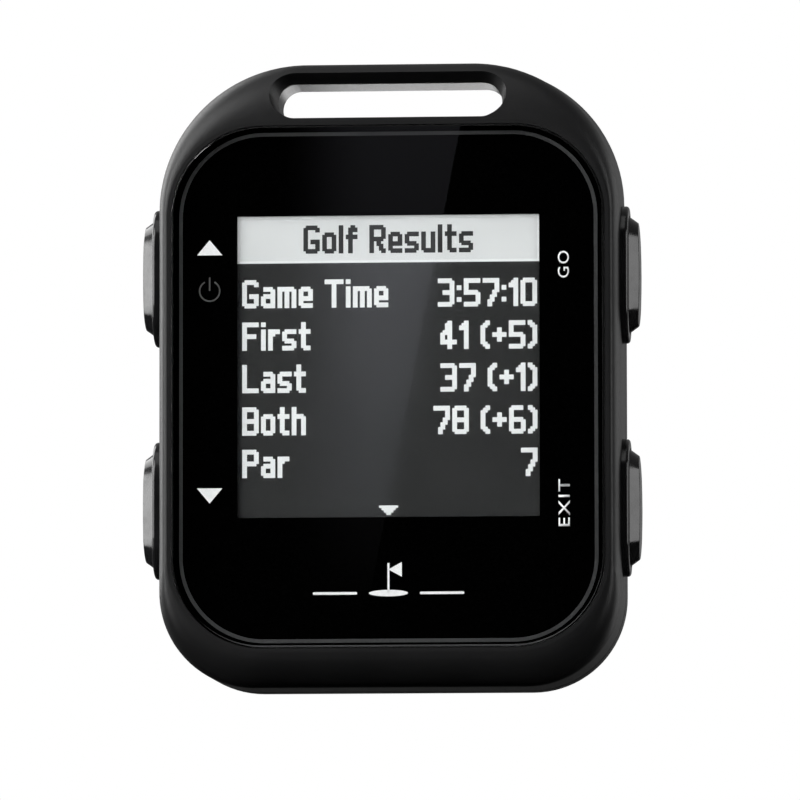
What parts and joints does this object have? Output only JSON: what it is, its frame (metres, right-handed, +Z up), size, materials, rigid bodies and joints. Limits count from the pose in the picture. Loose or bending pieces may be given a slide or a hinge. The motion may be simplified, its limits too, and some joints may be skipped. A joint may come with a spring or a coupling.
{
  "type": "golf gps handheld",
  "caption": "Pocket golf GPS unit: square display behind a round-cornered glass, lanyard loop across the top, side push buttons, charging contacts at the back.",
  "frame": {"origin": "middle of the base, on the surface that the unit stands on, midway between glass and back", "axes": "+X to the right as seen by someone reading the display, +Y from the glass to the back, +Z up towards the lanyard loop"},
  "size_m": [0.0384, 0.0132, 0.0483],
  "materials": {
    "case_plastic": "fine moulded texture, black",
    "button_plastic": "polished moulded black",
    "seal_rubber": "moulded silicone",
    "screw_steel": "dark plated, socket drive",
    "insert_brass": "turned and knurled",
    "lens_glass": "polished, clear",
    "mask_ink": "printed black film behind the glass",
    "tape_black": "foam-backed adhesive",
    "display_glass": "liquid crystal cell, dark grey ground",
    "chip_resin": "moulded epoxy",
    "light_guide": "clear acrylic over white film",
    "tray_steel": "pressed tin plate",
    "connector_nylon": "moulded nylon",
    "polyimide": "amber film over copper",
    "board_laminate": "solder mask over glass laminate",
    "antenna_ceramic": "fired microwave ceramic",
    "silver_plate": "fired silver",
    "lead_pvc": "extruded sleeve",
    "cell_pouch": "laminated foil pouch",
    "gold_plate": "gold plated, turned",
    "stem_steel": "ground stainless",
    "spring_steel": "drawn spring wire"
  },
  "bodies": {
    "housing": {"front_case": "case_plastic", "rear_cover": "case_plastic", "case_gasket": "seal_rubber", "cover_screws": "screw_steel", "screw_inserts": "insert_brass", "lens": "lens_glass", "lens_mask": "mask_ink", "lens_adhesive": "tape_black", "lcd_panel": "display_glass", "display_driver": "chip_resin", "backlight_guide": "light_guide", "display_tray": "tray_steel", "display_connector": "connector_nylon", "display_flex": "polyimide", "main_board": "board_laminate", "board_screws": "screw_steel", "gps_antenna": "antenna_ceramic", "antenna_electrode": "silver_plate", "shield_can": "tray_steel", "board_chips": "chip_resin", "battery_plug": "connector_nylon", "battery_leads": "lead_pvc", "battery": "cell_pouch", "battery_tape": "tape_black", "contact_carrier": "case_plastic", "charging_contacts": "gold_plate", "contact_pogo_pins": "gold_plate", "side_switches": "connector_nylon", "up_button_surround": "button_plastic", "up_return_spring": "spring_steel", "down_button_surround": "button_plastic", "down_return_spring": "spring_steel", "enter_button_surround": "button_plastic", "enter_return_spring": "spring_steel", "back_button_surround": "button_plastic", "back_return_spring": "spring_steel"},
    "up_button": {"up_button_cap": "button_plastic", "up_button_stem": "stem_steel", "up_stem_seal": "seal_rubber", "up_stem_clip": "spring_steel", "up_switch_pin": "connector_nylon"},
    "down_button": {"down_button_cap": "button_plastic", "down_button_stem": "stem_steel", "down_stem_seal": "seal_rubber", "down_stem_clip": "spring_steel", "down_switch_pin": "connector_nylon"},
    "enter_button": {"enter_button_cap": "button_plastic", "enter_button_stem": "stem_steel", "enter_stem_seal": "seal_rubber", "enter_stem_clip": "spring_steel", "enter_switch_pin": "connector_nylon"},
    "back_button": {"back_button_cap": "button_plastic", "back_button_stem": "stem_steel", "back_stem_seal": "seal_rubber", "back_stem_clip": "spring_steel", "back_switch_pin": "connector_nylon"}
  },
  "joints": [
    {"name": "up_press", "type": "slide", "parent": "housing", "child": "up_button", "axis": [1, 0, 0], "range_m": [0, 0.0005], "stiffness_N_per_m": 1500, "springref_m": -0.0008, "deforming": ["up_return_spring"]},
    {"name": "down_press", "type": "slide", "parent": "housing", "child": "down_button", "axis": [1, 0, 0], "range_m": [0, 0.0005], "stiffness_N_per_m": 1500, "springref_m": -0.0008, "deforming": ["down_return_spring"]},
    {"name": "enter_press", "type": "slide", "parent": "housing", "child": "enter_button", "axis": [-1, 0, 0], "range_m": [0, 0.0005], "stiffness_N_per_m": 1500, "springref_m": -0.0008, "deforming": ["enter_return_spring"]},
    {"name": "back_press", "type": "slide", "parent": "housing", "child": "back_button", "axis": [-1, 0, 0], "range_m": [0, 0.0005], "stiffness_N_per_m": 1500, "springref_m": -0.0008, "deforming": ["back_return_spring"]}
  ]
}
